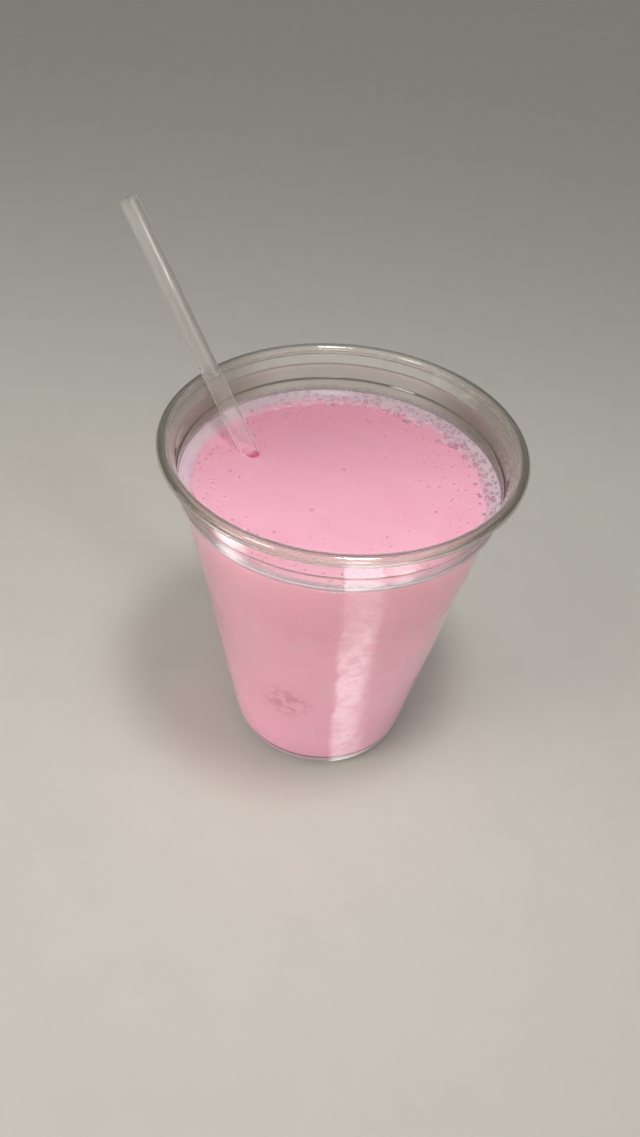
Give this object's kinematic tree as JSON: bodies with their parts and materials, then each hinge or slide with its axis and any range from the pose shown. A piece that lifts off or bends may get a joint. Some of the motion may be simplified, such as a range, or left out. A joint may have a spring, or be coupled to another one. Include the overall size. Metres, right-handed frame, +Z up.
{
  "type": "rose lassi in a clear cup",
  "caption": "Pink yoghurt drink in a clear tapered plastic cup with a rolled rim, a pale froth ring and a straight clear straw leaning on the rim.",
  "frame": {"origin": "middle of the floor area that the whole object covers, straw included, on the surface that it stands on; the cup's own axis stands 8.5 mm towards +X from it", "axes": "+Z up along the cup's axis, out of its mouth; -Y towards the side the picture is taken from; the straw leans back and towards -X"},
  "size_m": [0.1149, 0.098, 0.1505],
  "materials": {
    "clear_plastic": "clear, glossy, thin-walled, with faint mist low on the outside",
    "rose_lassi": "opaque milky pink liquid with a smooth wet surface",
    "froth": "pale lilac froth of small bubbles",
    "straw_plastic": "clear, slightly cloudy"
  },
  "bodies": {
    "root": {"cup": "clear_plastic", "drink": "rose_lassi", "froth": "froth", "straw": "straw_plastic"}
  },
  "joints": []
}
